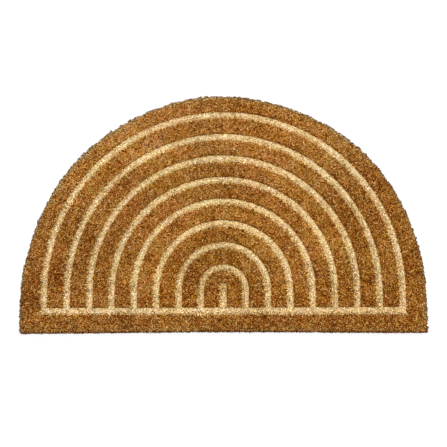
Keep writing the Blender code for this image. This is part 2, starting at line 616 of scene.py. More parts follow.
class Tree:
    """A node tree with short ways to add nodes, join them and set their values."""

    # A colour Mix node's sockets, by number because their names repeat
    MIX_FACTOR: ClassVar[int] = 0
    MIX_ONE: ClassVar[int] = 6
    MIX_OTHER: ClassVar[int] = 7
    MIX_RESULT: ClassVar[int] = 2

    def __init__(self, tree: bpy.types.NodeTree) -> None:
        """Takes the tree that nodes are added to."""
        self.tree = tree

    def node(self, kind: str, fed: dict[str | int, Fed] | None = None,
             **settings: str | bool | bpy.types.NodeTree) -> bpy.types.Node:
        """Adds a node.

        Args:
            kind: the node's type, without its ShaderNode prefix.
            fed: what its inputs are fed with, by their names or numbers.
            settings: the node's own properties.

        Returns:
            The node.
        """
        node = self.tree.nodes.new(f"ShaderNode{kind}")
        for name, value in settings.items():
            setattr(node, name, value)
        for socket, given in (fed or {}).items():
            self.feed(node.inputs[socket], given)
        return node

    def feed(self, socket: bpy.types.NodeSocket, given: Fed) -> None:
        """Feeds an input.

        Args:
            socket: the input.
            given: the socket that it is joined to, or the value that it is set to.
        """
        if isinstance(given, bpy.types.NodeSocket):
            self.tree.links.new(given, socket)
        else:
            socket.default_value = given

    def math(self, operation: str, one: Fed, other: Fed = 0.0, clamp: bool = False) -> bpy.types.NodeSocket:
        """Adds a sum of two numbers, kept between 0 and 1 if clamp is set, and gives its result."""
        return self.node("Math", {0: one, 1: other}, operation=operation, use_clamp=clamp).outputs[0]

    def spread(self, value: Fed, source: tuple[Fed, Fed], target: tuple[Fed, Fed],
               soft: bool = False) -> bpy.types.NodeSocket:
        """Maps a range of numbers to another.

        Args:
            value: the number that is mapped.
            source: the range that it comes from.
            target: the range that it goes to.
            soft: whether both ends are eased.

        Returns:
            The mapped number.
        """
        labels = ("Value", "From Min", "From Max", "To Min", "To Max")
        fed = dict(zip(labels, (value, *source, *target)))
        kind = "SMOOTHSTEP" if soft else "LINEAR"
        return self.node("MapRange", fed, interpolation_type=kind).outputs["Result"]

    def mix(self, blend: str, factor: Fed, one: Fed, other: Fed) -> bpy.types.NodeSocket:
        """Mixes two colours by a blend type, the second at the strength of factor, and gives the result."""
        fed = {self.MIX_FACTOR: factor, self.MIX_ONE: one, self.MIX_OTHER: other}
        return self.node("Mix", fed, data_type="RGBA", blend_type=blend).outputs[self.MIX_RESULT]


class ShaderGroups:
    """Shader effects as node groups with named inputs and outputs, each built once."""

    made: ClassVar[dict[str, bpy.types.NodeTree]] = {}

    @classmethod
    def use(cls, tree: Tree, name: str, **values: Fed) -> bpy.types.Node:
        """Places a group in a tree, and builds it if it is new.

        Args:
            tree: the tree that it goes into.
            name: the group's name, which is also that of the method that builds it.
            values: what its inputs are fed with, with _ for the spaces in their names.

        Returns:
            The group's node.
        """
        if name not in cls.made:
            cls.made[name] = getattr(cls, name)()
        fed = {label.replace("_", " "): value for label, value in values.items()}
        return tree.node("Group", fed, node_tree=cls.made[name])

    @staticmethod
    def start(name: str, inputs: tuple[str, ...], outputs: tuple[str, ...]) -> tuple[Tree, Sockets, Sockets]:
        """Starts a group of numbers.

        Args:
            name: its name.
            inputs, outputs: the names of its sockets.

        Returns:
            Its tree, the sockets that carry its inputs, and the sockets that take its outputs.
        """
        group = bpy.data.node_groups.new(name, "ShaderNodeTree")
        for labels, way in ((inputs, "INPUT"), (outputs, "OUTPUT")):
            for label in labels:
                group.interface.new_socket(label, in_out=way, socket_type="NodeSocketFloat")
        taken = group.nodes.new("NodeGroupInput").outputs
        given = group.nodes.new("NodeGroupOutput").inputs
        return Tree(group), taken, given

    @classmethod
    def fibre_place(cls) -> bpy.types.NodeTree:
        """Builds fibre_place: a fibre's Hue and Tone from its place on the map, and its painted Light by
        height.

        Returns:
            The group, whose Light, a painted shade, grows from 0 at a fibre's root to 1 at the height Clear
            From.
        """
        tree, taken, given = cls.start("fibre_place", ("Clear From",), ("Hue", "Tone", "Light"))
        place = tree.node("UVMap", uv_map=PILE_MAP)
        split = tree.node("SeparateXYZ", {0: place.outputs[0]})
        strip = tree.math("MULTIPLY", split.outputs["X"], float(HUE_COUNT))
        tree.feed(given["Hue"], tree.math("FLOOR", strip))
        tree.feed(given["Tone"], tree.math("FRACT", strip))
        light = tree.spread(split.outputs["Y"], (0.0, taken["Clear From"]), (0.0, 1.0), soft=True)
        tree.feed(given["Light"], light)
        return tree.tree

    @classmethod
    def cut_ends(cls) -> bpy.types.NodeTree:
        """Builds cut_ends: packed fibre ends in bundles, each end in a tone of its own.

        Returns:
            The group, with a Tone for each end, a Hue by patches, and a Light of painted shade that is 0 in
            the gaps.
        """
        end_swing, bundle_swing = 0.3, 0.45
        # Painted shade: the Light falls to 0 between these distances from a cell's middle
        gap_shade_range = (0.3, 0.8)
        patch_range, patch_tones = (0.3, 0.7), (0.35, 0.65)
        # Each as a scale and a seed
        tone_patches, hue_patches = (32.0, 0.0), (75.0, 5.0)
        tree, taken, given = cls.start("cut_ends", ("End Scale", "Bundle Scale"), ("Tone", "Hue", "Light"))
        place = tree.node("TexCoord").outputs["Object"]
        tones, lights = [], []
        for label, swing in (("End Scale", end_swing), ("Bundle Scale", bundle_swing)):
            cells = tree.node("TexVoronoi", {"Vector": place, "Scale": taken[label]}, feature="F1")
            own = tree.node("SeparateColor", {0: cells.outputs["Color"]})
            tones.append(tree.spread(own.outputs[0], (0.0, 1.0), (-swing, swing)))
            lights.append(tree.spread(cells.outputs["Distance"], gap_shade_range, (1.0, 0.0), soft=True))
        for scale, seed in (tone_patches, hue_patches):
            patch = tree.node("TexNoise", {"Vector": place, "Scale": scale, "W": seed}, noise_dimensions="4D")
            tones.append(tree.spread(patch.outputs["Fac"], patch_range, patch_tones))
        tree.feed(given["Hue"], tones.pop())
        total = tree.math("ADD", tones[0], tones[1])
        tree.feed(given["Tone"], tree.math("ADD", total, tones[2], clamp=True))
        tree.feed(given["Light"], tree.math("MULTIPLY", *lights))
        return tree.tree

    @classmethod
    def matting(cls) -> bpy.types.NodeTree:
        """Builds matting: long bent fibres, pressed flat on each other in three directions.

        Returns:
            The group, with the Strands that show on top and their Height.
        """
        bend_scale, stretch = 60.0, 0.08
        turns_deg = (12.0, 71.0, 133.0)
        strand_range = (0.45, 0.75)
        tree, taken, given = cls.start("matting", ("Fibre Scale", "Bend"), ("Strands", "Height"))
        place = tree.node("TexCoord").outputs["Object"]
        bend = tree.node("TexNoise", {"Vector": place, "Scale": bend_scale})
        swing = tree.node("VectorMath", {0: bend.outputs["Color"], "Scale": taken["Bend"]}, operation="SCALE")
        bent = tree.node("VectorMath", {0: place, 1: swing.outputs[0]}, operation="ADD")
        highest = 0.0
        for turn_deg in turns_deg:
            lie = tree.node("Mapping", {
                "Vector": bent.outputs[0],
                "Rotation": (0.0, 0.0, math.radians(turn_deg)),
                "Scale": (stretch, 1.0, 1.0),
            })
            strand = tree.node("TexNoise", {"Vector": lie.outputs[0], "Scale": taken["Fibre Scale"]})
            highest = tree.math("MAXIMUM", highest, strand.outputs["Fac"])
        tree.feed(given["Strands"], tree.spread(highest, strand_range, (0.0, 1.0)))
        tree.feed(given["Height"], highest)
        return tree.tree


@dataclass(frozen=True)
class Palette:
    """Colours from dark to light, each at its place from 0 to 1."""

    stops: tuple[tuple[float, Colour], ...]

    def shifted(self, *by: float) -> "Palette":
        """The same palette in another hue: its colours moved, the darkest not at all.

        Args:
            by: how far red, green and blue are moved, from -255 to 255.

        Returns:
            The new palette.
        """
        stops = []
        for place, colour in self.stops:
            moved = np.array(colour) + np.array(by) * min(1.0, 2 * place)
            stops.append((place, tuple(np.clip(moved, 0, 255).tolist())))
        return Palette(tuple(stops))

    def ramp(self, tree: Tree, tone: bpy.types.NodeSocket) -> bpy.types.NodeSocket:
        """Adds the palette as a colour ramp.

        Args:
            tree: the tree that it goes into.
            tone: what picks the colour.

        Returns:
            The colour that was picked.
        """
        node = tree.node("ValToRGB", {0: tone})
        marks = node.color_ramp.elements
        while len(marks) < len(self.stops):
            marks.new(0.5)
        for mark, (place, colour) in zip(marks, self.stops):
            mark.position = place
            mark.color = srgb(colour)
        return node.outputs[0]


@dataclass(frozen=True)
class Finish:
    """What every finish of the mat has: its name, its slot, and a matt surface with little shine."""

    name: str
    slot: Slot
    roughness: float = 0.9
    shine: float = 0.05

    def material(self) -> bpy.types.Material:
        """The finish's material, which is built the first time."""
        return bpy.data.materials.get(self.name) or self.build()

    def build(self) -> bpy.types.Material:
        """Makes the material.

        Returns:
            The material, with its shader fed by the finish's own nodes.
        """
        material = bpy.data.materials.new(self.name)
        material.use_nodes = True
        shader = material.node_tree.nodes["Principled BSDF"]
        shader.inputs["Roughness"].default_value = self.roughness
        shader.inputs["Specular IOR Level"].default_value = self.shine
        self.dress(Tree(material.node_tree), shader)
        return material

    def dress(self, tree: Tree, shader: bpy.types.Node) -> None:
        """Adds the finish's own nodes, which feed the shader."""
        raise NotImplementedError

    @staticmethod
    def raise_relief(tree: Tree, shader: bpy.types.Node, height: bpy.types.NodeSocket, relief: float) -> None:
        """Roughens the surface: relief is how far in metres a height of 1 stands out."""
        bump = tree.node("Bump", {"Distance": relief, "Height": height})
        tree.feed(shader.inputs["Normal"], bump.outputs[0])


@dataclass(frozen=True)
class PileFinish(Finish):
    """A finish of the pile: palettes in several hues, and a painted-shade tint where light hardly reaches."""

    palettes: tuple[Palette, ...] = ()
    shade_tint: Colour = (0, 0, 0)

    def colour_in(self, tree: Tree, shader: bpy.types.Node, colour: bpy.types.NodeSocket,
                  light: bpy.types.NodeSocket) -> None:
        """Feeds the shader with a colour that painted shade tints where light, which runs from 0 to 1, is
        low.
        """
        tint = tree.mix("MIX", light, srgb(self.shade_tint), WHITE)
        tree.feed(shader.inputs["Base Color"], tree.mix("MULTIPLY", 1.0, colour, tint))


@dataclass(frozen=True)
class FibreFinish(PileFinish):
    """Coir fibres, each of its own hue and tone, with painted shade that darkens them towards the root."""

    clear_from: float = 0.9

    def dress(self, tree: Tree, shader: bpy.types.Node) -> None:
        """Adds the nodes that read each fibre's hue, tone and height.

        Args:
            tree: the material's tree.
            shader: its shader.
        """
        place = ShaderGroups.use(tree, "fibre_place", Clear_From=self.clear_from)
        tone = place.outputs["Tone"]
        colour = self.palettes[0].ramp(tree, tone)
        for number, palette in enumerate(self.palettes[1:]):
            beyond = tree.math("GREATER_THAN", place.outputs["Hue"], number + 0.5)
            colour = tree.mix("MIX", beyond, colour, palette.ramp(tree, tone))
        self.colour_in(tree, shader, colour, place.outputs["Light"])


@dataclass(frozen=True)
class PackedFinish(PileFinish):
    """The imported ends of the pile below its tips, in two hues."""

    end_scale: float = 1150.0
    bundle_scale: float = 520.0
    relief: float = 0.6 * MM

    def dress(self, tree: Tree, shader: bpy.types.Node) -> None:
        """Adds the nodes that draw the ends and the bundles.

        Args:
            tree: the material's tree.
            shader: its shader.
        """
        ends = ShaderGroups.use(tree, "cut_ends", End_Scale=self.end_scale, Bundle_Scale=self.bundle_scale)
        one, other = (palette.ramp(tree, ends.outputs["Tone"]) for palette in self.palettes)
        colour = tree.mix("MIX", ends.outputs["Hue"], one, other)
        self.colour_in(tree, shader, colour, ends.outputs["Light"])
        self.raise_relief(tree, shader, ends.outputs["Light"], self.relief)


@dataclass(frozen=True)
class MattedFinish(Finish):
    """Coir pressed into a felt: strands over dark gaps, in lighter and darker patches."""

    gaps: Colour = (0, 0, 0)
    strands: Colour = (0, 0, 0)
    patches: Colour = (0, 0, 0)
    fibre_scale: float = 900.0
    bend: float = 0.02
    patch_scale: float = 28.0
    relief: float = 0.5 * MM

    def dress(self, tree: Tree, shader: bpy.types.Node) -> None:
        """Adds the nodes that draw the strands.

        Args:
            tree: the material's tree.
            shader: its shader.
        """
        felt = ShaderGroups.use(tree, "matting", Fibre_Scale=self.fibre_scale, Bend=self.bend)
        place = tree.node("TexCoord").outputs["Object"]
        cloud = tree.node("TexNoise", {"Vector": place, "Scale": self.patch_scale})
        top = tree.mix("MIX", cloud.outputs["Fac"], srgb(self.strands), srgb(self.patches))
        colour = tree.mix("MIX", felt.outputs["Strands"], srgb(self.gaps), top)
        tree.feed(shader.inputs["Base Color"], colour)
        self.raise_relief(tree, shader, felt.outputs["Height"], self.relief)


COIR = Palette((
    (0.00, (68, 25, 1)),
    (0.25, (118, 60, 8)),
    (0.45, (155, 97, 22)),
    (0.65, (184, 128, 48)),
    (0.85, (208, 163, 86)),
    (1.00, (230, 193, 128)),
))
BLEACHED = Palette((
    (0.00, (145, 105, 54)),
    (0.25, (189, 157, 101)),
    (0.50, (219, 195, 143)),
    (0.75, (241, 221, 179)),
    (1.00, (254, 243, 211)),
))

# The palettes in the order of Hue, then of BrownHue or CreamHue
COIR_HUES = (
    COIR.shifted(-5, 2, 11),
    COIR.shifted(-5, 4, -7),
    COIR.shifted(5, -4, 7),
    COIR.shifted(5, -2, -11),
    COIR.shifted(-11.5, 5, 18),
    COIR.shifted(-23, 10, 36),
)
BLEACHED_HUES = (
    BLEACHED.shifted(-3, 2, 9),
    BLEACHED.shifted(-3, 2, -6),
    BLEACHED.shifted(3, -2, 6),
    BLEACHED.shifted(3, -2, -9),
    BLEACHED.shifted(2, 1, -34),
)
PACKED_HUES = slice(Hue.GOLD, Hue.ORANGE)
# Tints of painted shade for the fibres' roots and the gaps between the packed ends
SHADE_BROWN = (150, 120, 80)
SHADE_CREAM = (190, 170, 140)
BROWN_FIBRES = FibreFinish("brown_coir_fibres", Slot.BROWN, palettes=COIR_HUES, shade_tint=SHADE_BROWN)
CREAM_FIBRES = FibreFinish("cream_coir_fibres", Slot.CREAM, palettes=BLEACHED_HUES, shade_tint=SHADE_CREAM)
BROWN_ENDS = PackedFinish(
    "packed_brown_coir", Slot.BROWN, palettes=COIR_HUES[PACKED_HUES], shade_tint=SHADE_BROWN
)
CREAM_ENDS = PackedFinish(
    "packed_cream_coir", Slot.CREAM, palettes=BLEACHED_HUES[PACKED_HUES], shade_tint=SHADE_CREAM
)
MATTED_BASE = MattedFinish(
    "matted_coir_base", Slot.BASE, gaps=(54, 32, 16), strands=(122, 82, 44), patches=(98, 60, 30)
)


def placed(obj: bpy.types.Object, finish: Finish) -> bpy.types.Object:
    """Puts a piece into the scene with its finish and its body.

    Args:
        obj: the piece.
        finish: its finish.

    Returns:
        The piece again.
    """
    obj.data.materials.append(finish.material())
    bpy.context.scene.collection.objects.link(obj)
    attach(obj, BODY)
    return obj


def fibre_piece(name: str, shape: FibreShape, fibres: Fibres, finish: Finish) -> bpy.types.Object:
    """Joins many fibres into one mesh piece.

    Args:
        name: the piece's name.
        shape: the fibre that is copied.
        fibres: where the copies stand.
        finish: their finish.

    Returns:
        The piece.
    """
    points, triangles, on_map = shape.spread(fibres)
    mesh = bpy.data.meshes.new(name)
    mesh.vertices.add(len(points))
    mesh.vertices.foreach_set("co", points.astype(np.float32).ravel())
    mesh.loops.add(triangles.size)
    mesh.loops.foreach_set("vertex_index", triangles.astype(np.int32).ravel())
    mesh.polygons.add(len(triangles))
    mesh.polygons.foreach_set("loop_start", np.arange(0, triangles.size, 3, dtype=np.int32))
    mesh.update(calc_edges=True)
    layer = mesh.uv_layers.new(name=PILE_MAP)
    layer.data.foreach_set("uv", on_map[triangles.ravel()].astype(np.float32).ravel())
    return placed(bpy.data.objects.new(name, mesh), finish)


def mesh_object(bm: bmesh.types.BMesh, name: str) -> bpy.types.Object:
    """Puts a mesh, its faces turned outwards, into an object that isn't in the scene yet.

    Args:
        bm: the mesh, which is freed.
        name: the object's name.

    Returns:
        The object.
    """
    bmesh.ops.recalc_face_normals(bm, faces=bm.faces)
    mesh = bpy.data.meshes.new(name)
    bm.to_mesh(mesh)
    bm.free()
    return bpy.data.objects.new(name, mesh)


def draw_out(bm: bmesh.types.BMesh, face: bmesh.types.BMFace, way: tuple[float, float, float]) -> None:
    """Extrudes a face. The face itself stays where it was.

    Args:
        bm: the mesh.
        face: the face.
        way: how far and in which direction it is drawn.
    """
    geometry = bmesh.ops.extrude_face_region(bm, geom=[face])["geom"]
    verts = [item for item in geometry if isinstance(item, bmesh.types.BMVert)]
    bmesh.ops.translate(bm, vec=way, verts=verts)


def combined(obj: bpy.types.Object, others: list[bpy.types.Object], join: Join) -> bpy.types.Object:
    """Adds solids to an object or cuts them out of it.

    Args:
        obj: the object that is worked on.
        others: the solids, which are removed afterwards.
        join: which of the two is done.

    Returns:
        The object, out of the scene again, with the result as its mesh.
    """
    collection = bpy.context.scene.collection
    for one in (obj, *others):
        collection.objects.link(one)
    for other in others:
        step = obj.modifiers.new(other.name, "BOOLEAN")
        step.operation = join.value
        step.solver = "EXACT"
        step.object = other
    graph = bpy.context.evaluated_depsgraph_get()
    mesh = bpy.data.meshes.new_from_object(obj.evaluated_get(graph))
    obj.modifiers.clear()
    obj.data = mesh
    collection.objects.unlink(obj)
    for other in others:
        bpy.data.objects.remove(other)
    return obj


@dataclass
class Slab:
    """A layer of the mat with its outline and a rounded upper rim."""

    outline: Outline
    inset: float
    bottom: float
    top: float
    rim: float = 1.5 * MM
    rim_steps: int = 2
    point_step: float = 5.0 * MM

    def build(self, name: str) -> bpy.types.Object:
        """Makes the layer.

        Args:
            name: its name.

        Returns:
            The layer as an object that isn't in the scene yet.
        """
        points, _ = self.outline.points(self.inset, self.point_step)
        bm = bmesh.new()
        floor = bm.faces.new([bm.verts.new((x, y, self.bottom)) for x, y in points])
        draw_out(bm, floor, (0.0, 0.0, self.top - self.bottom))
        bmesh.ops.recalc_face_normals(bm, faces=bm.faces)
        upper = max(bm.faces, key=lambda face: face.calc_center_median().z)
        bmesh.ops.bevel(
            bm, geom=list(upper.edges), offset=self.rim, offset_type="OFFSET", segments=self.rim_steps,
            profile=0.5, affect="EDGES", material=-1,
        )
        return mesh_object(bm, name)


@dataclass
class Bed:
    """The base that the pile stands in: matted coir, pressed flat underneath."""

    outline: Outline
    top: float = 9.5 * MM
    inset: float = 1.6 * MM

    def build(self) -> bpy.types.Object:
        """Makes the base, which stands for the CAD solid.

        Returns:
            The piece.
        """
        bed = placed(Slab(self.outline, self.inset, 0.0, self.top).build("mat_bed"), MATTED_BASE)
        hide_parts(CAD_NODE)
        return bed


@dataclass
class BandSolids:
    """The bands as solids between two heights, their edges moved outwards by grow."""

    bands: Bands
    grow: float
    bottom: float
    top: float
    fewest_steps: int = 24
    radius_per_step: float = 5.0 * MM

    def arch(self, radius: float) -> bpy.types.Object:
        """Makes one arch: its section spun through a half turn, then drawn down both legs.

        Args:
            radius: the radius of its middle line.

        Returns:
            The arch with its legs.
        """
        half = self.bands.width / 2 + self.grow
        section = ((-half, self.bottom), (half, self.bottom), (half, self.top), (-half, self.top))
        corners = [(radius + offset, self.bands.arch_y, z) for offset, z in section]
        bm = bmesh.new()
        first = bm.faces.new([bm.verts.new(corner) for corner in corners])
        spun = bmesh.ops.spin(
            bm, geom=[first], cent=(0.0, self.bands.arch_y, 0.0), axis=(0.0, 0.0, 1.0), angle=math.pi,
            steps=self.fewest_steps + int(radius / self.radius_per_step), use_merge=False,
        )
        last = next(item for item in spun["geom_last"] if isinstance(item, bmesh.types.BMFace))
        for end in (first, last):
            draw_out(bm, end, (0.0, -self.bands.arches_up, 0.0))
            bm.faces.remove(end)
        return mesh_object(bm, "arch")

    def bar(self, half_width: float, low_y: float, high_y: float) -> bpy.types.Object:
        """Makes one straight band round x = 0.

        Args:
            half_width: how far it reaches to each side.
            low_y, high_y: where it starts and ends.

        Returns:
            The bar.
        """
        size = Vector((2 * half_width, high_y - low_y, self.top - self.bottom))
        middle = Vector((0.0, (low_y + high_y) / 2, (self.top + self.bottom) / 2))
        bm = bmesh.new()
        block = Matrix.Translation(middle) @ Matrix.Diagonal(size.to_4d())
        bmesh.ops.create_cube(bm, size=1.0, matrix=block)
        return mesh_object(bm, "bar")

    def build(self) -> list[bpy.types.Object]:
        """Makes all the bands.

        Returns:
            The base bar, the centre bar and the arches.
        """
        bands, grow = self.bands, self.grow
        half_bar = bands.bar_width / 2 + grow
        base = self.bar(bands.half_bar + grow, bands.bar_y - half_bar, bands.bar_y + half_bar)
        top_y = bands.bar_y + bands.centre_bar_up + grow
        centre = self.bar(bands.width / 2 + grow, bands.bar_y, top_y)
        return [base, centre] + [self.arch(radius) for radius in bands.radii]


@dataclass
class Underpile:
    """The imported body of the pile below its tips: brown fields, and lower cream strips in the bands."""

    outline: Outline
    bands: Bands
    bottom: float = 9.0 * MM
    brown_top: float = 12.9 * MM
    cream_top: float = 11.2 * MM
    inset: float = 2.6 * MM
    groove_grow: float = 0.55 * MM
    strip_grow: float = 0.6 * MM
    cut_past: float = 1.0 * MM

    def build(self) -> list[bpy.types.Object]:
        """Makes both layers.

        Returns:
            The brown piece and the cream piece.
        """
        slab = Slab(self.outline, self.inset, self.bottom, self.brown_top).build("brown_underpile")
        cut_bottom, cut_top = self.bottom - self.cut_past, self.brown_top + self.cut_past
        grooves = BandSolids(self.bands, self.groove_grow, cut_bottom, cut_top).build()
        for groove in grooves:
            groove.data.transform(Matrix.Translation((*GROOVE_SHIFT, 0.0)))
        brown = combined(slab, grooves, Join.CUT)
        first, *others = BandSolids(self.bands, self.strip_grow, self.bottom, self.cream_top).build()
        cream = combined(first, others, Join.ADD)
        cream.name = "cream_underpile"
        return [placed(brown, BROWN_ENDS), placed(cream, CREAM_ENDS)]


@dataclass(frozen=True)
class Tuft:
    """What the tufts of one colour have in common: their size, and how their tones and hues vary."""

    fibres: int
    reach_along: float
    reach_across: float
    root_z: float
    tip_z: float
    middle_tone: float
    fibre_tone: float
    grain_tone: float
    gold_slope: float
    gold_middle: float


BROWN_TUFT = Tuft(
    fibres=11, reach_along=2.7 * MM, reach_across=2.7 * MM, root_z=12.0 * MM, tip_z=14.7 * MM,
    middle_tone=0.455, fibre_tone=0.17, grain_tone=0.3, gold_slope=1.5, gold_middle=0.3,
)
CREAM_TUFT = Tuft(
    fibres=20, reach_along=2.6 * MM, reach_across=3.4 * MM, root_z=10.2 * MM, tip_z=12.8 * MM,
    middle_tone=0.54, fibre_tone=0.19, grain_tone=0.34, gold_slope=0.0, gold_middle=1.0,
)


@dataclass
class Pile:
    """One colour of the cut pile: tufts of fibres that spread a little towards their tips and lean over."""

    outline: Outline
    bands: Bands
    rng: np.random.Generator
    name: str
    finish: Finish
    tuft: Tuft
    strips: int
    width: float = 0.8 * MM
    width_share: Even = (0.75, 1.25)
    root_spread: float = 0.4
    root_uneven: float = 0.3 * MM
    tuft_uneven: float = 0.2 * MM
    fibre_uneven: float = 0.25 * MM
    crown: float = 0.6 * MM
    lean: float = 0.8 * MM
    lean_uneven: float = 0.5 * MM
    tilt: float = 0.4 * MM
    patch_tone: float = 0.12
    tuft_tone: float = 0.05
    speck_tone: float = 0.5
    speck_from: float = 1.2
    stray_hue: float = 0.07
    gold_of_ruddy: float = 0.2
    gold_crest: float = 0.8
    gold_reach: float = 250.0 * MM
    gold_least: float = -1.0
    groove_grow: float = 0.55 * MM
    row_gap_in: float = 4.4 * MM
    row_gap_width: float = 1.0 * MM
    band_wobble: float = 0.45 * MM
    band_uneven: float = 0.5 * MM
    band_wider: float = 0.3 * MM
    wider_right: float = 0.0019
    wider_up: float = 0.003
    smallest_narrower: float = 0.6 * MM

    def tufts(self, centres: np.ndarray, across: np.ndarray) -> Fibres:
        """Sets many tufts.

        Args:
            centres: where the tufts stand.
            across: the unit vector of each tuft along which reach_across is measured.

        Returns:
            Their fibres.
        """
        rng, tuft = self.rng, self.tuft
        shape, total = (len(centres), tuft.fibres), len(centres) * tuft.fibres
        angle = rng.uniform(0, 2 * math.pi, shape)
        away = np.sqrt(rng.uniform(0, 1, shape))
        offset = (away * np.cos(angle))[..., None] * quarter_turn(across)[:, None] * tuft.reach_along
        offset = offset + (away * np.sin(angle))[..., None] * across[:, None] * tuft.reach_across
        uneven = np.stack([LAY_X.at(centres), LAY_Y.at(centres)], 1) * self.lean_uneven
        lean = (uneven + LAY * self.lean)[:, None] + rng.normal(0, self.tilt, (*shape, 2))
        root = centres[:, None] + offset * self.root_spread - lean / 2
        tip = centres[:, None] + offset + lean / 2
        high = tuft.tip_z + rng.normal(0, self.tuft_uneven, (len(centres), 1)) - self.crown * away**3
        high = high + rng.normal(0, self.fibre_uneven, shape)
        low = tuft.root_z + rng.uniform(-1, 1, shape) * self.root_uneven
        grain = GRAIN.at(tip)
        tone = tuft.middle_tone + self.patch_tone * TONE_PATCHES.at(tip) + tuft.grain_tone * grain
        tone = tone - self.speck_tone * np.maximum(-grain - self.speck_from, 0)
        tone = tone + self.tuft_tone * rng.standard_normal((len(centres), 1))
        tone = tone + tuft.fibre_tone * rng.standard_normal(shape)
        return Fibres(
            root=np.c_[root.reshape(-1, 2), low.ravel()],
            tip=np.c_[tip.reshape(-1, 2), high.ravel()],
            bow=np.zeros((total, 3)),
            width=self.width * rng.uniform(*self.width_share, total),
            turn=rng.uniform(0, 2 * math.pi, total),
            tone=tone.ravel(),
            hue=self.hues(tip.reshape(-1, 2)),
        )

    def hues(self, tips: np.ndarray) -> np.ndarray:
        """Picks each fibre's hue, which goes by patches with some strays between them.

        Args:
            tips: x and y of the fibres' tips.

        Returns:
            A Hue for each fibre.
        """
        stray = self.stray_hue * self.rng.standard_normal((2, len(tips)))
        ruddy = RUDDY_PATCHES.at(tips)
        gold = GOLD_PATCHES.at(tips) + self.gold_of_ruddy * ruddy + self.tuft.gold_slope * tips[:, 0]
        middle = self.gold_crest - (tips[:, 0] ** 2 + tips[:, 1] ** 2) / self.gold_reach**2
        gold = gold + self.tuft.gold_middle * np.maximum(middle, self.gold_least)
        return Hue.ROSY * (ruddy + stray[0] > 0) + Hue.GOLD * (gold + stray[1] > 0)

    def from_groove(self, tips: np.ndarray) -> np.ndarray:
        """How far outside the grooves of the brown pile each tip lies."""
        return self.bands.clear(tips - GROOVE_SHIFT) - self.groove_grow

    def in_row_gap(self, clear: np.ndarray) -> np.ndarray:
        """How deep in the gap between a band's rows each place lies, from 0 to 1, which is its middle."""
        return np.exp(-((clear + self.row_gap_in) / self.row_gap_width) ** 2)

    def uneven(self, tips: np.ndarray) -> np.ndarray:
        """How much nearer to its middle a band ends here than it should.

        It is most at the smallest arch, less towards the right and the top, and otherwise goes by chance.

        Args:
            tips: x and y of the fibres' tips.

        Returns:
            The distance at each tip, below 0 where the band is wider.
        """
        wobble = BAND_EDGE.at(tips) * self.band_wobble + BAND_WIDTH.at(tips) * self.band_uneven
        wobble = wobble - self.band_wider - self.wider_right * tips[:, 0]
        wobble = wobble - self.wider_up * np.maximum(tips[:, 1], 0)
        from_centre = np.hypot(tips[:, 0], np.maximum(tips[:, 1] - self.bands.arch_y, 0))
        by_smallest = np.abs(from_centre - self.bands.pitch) < self.bands.width
        above_bar = tips[:, 1] > self.bands.bar_y + self.bands.width
        return wobble + self.smallest_narrower * (by_smallest & above_bar)

    def fibres(self) -> Fibres:
        """The pile's fibres."""
        raise NotImplementedError

    def build(self) -> list[bpy.types.Object]:
        """Makes the pile's pieces, one for each strip of the plan.

        Returns:
            The pieces, from left to right.
        """
        shape = FibreShape()
        fibres = self.fibres()
        order = np.argsort(fibres.tip[:, 0], kind="stable")
        pieces = []
        for number, rows in enumerate(np.array_split(order, self.strips), 1):
            pieces.append(fibre_piece(f"{self.name}_{number}", shape, fibres.only(rows), self.finish))
        return pieces


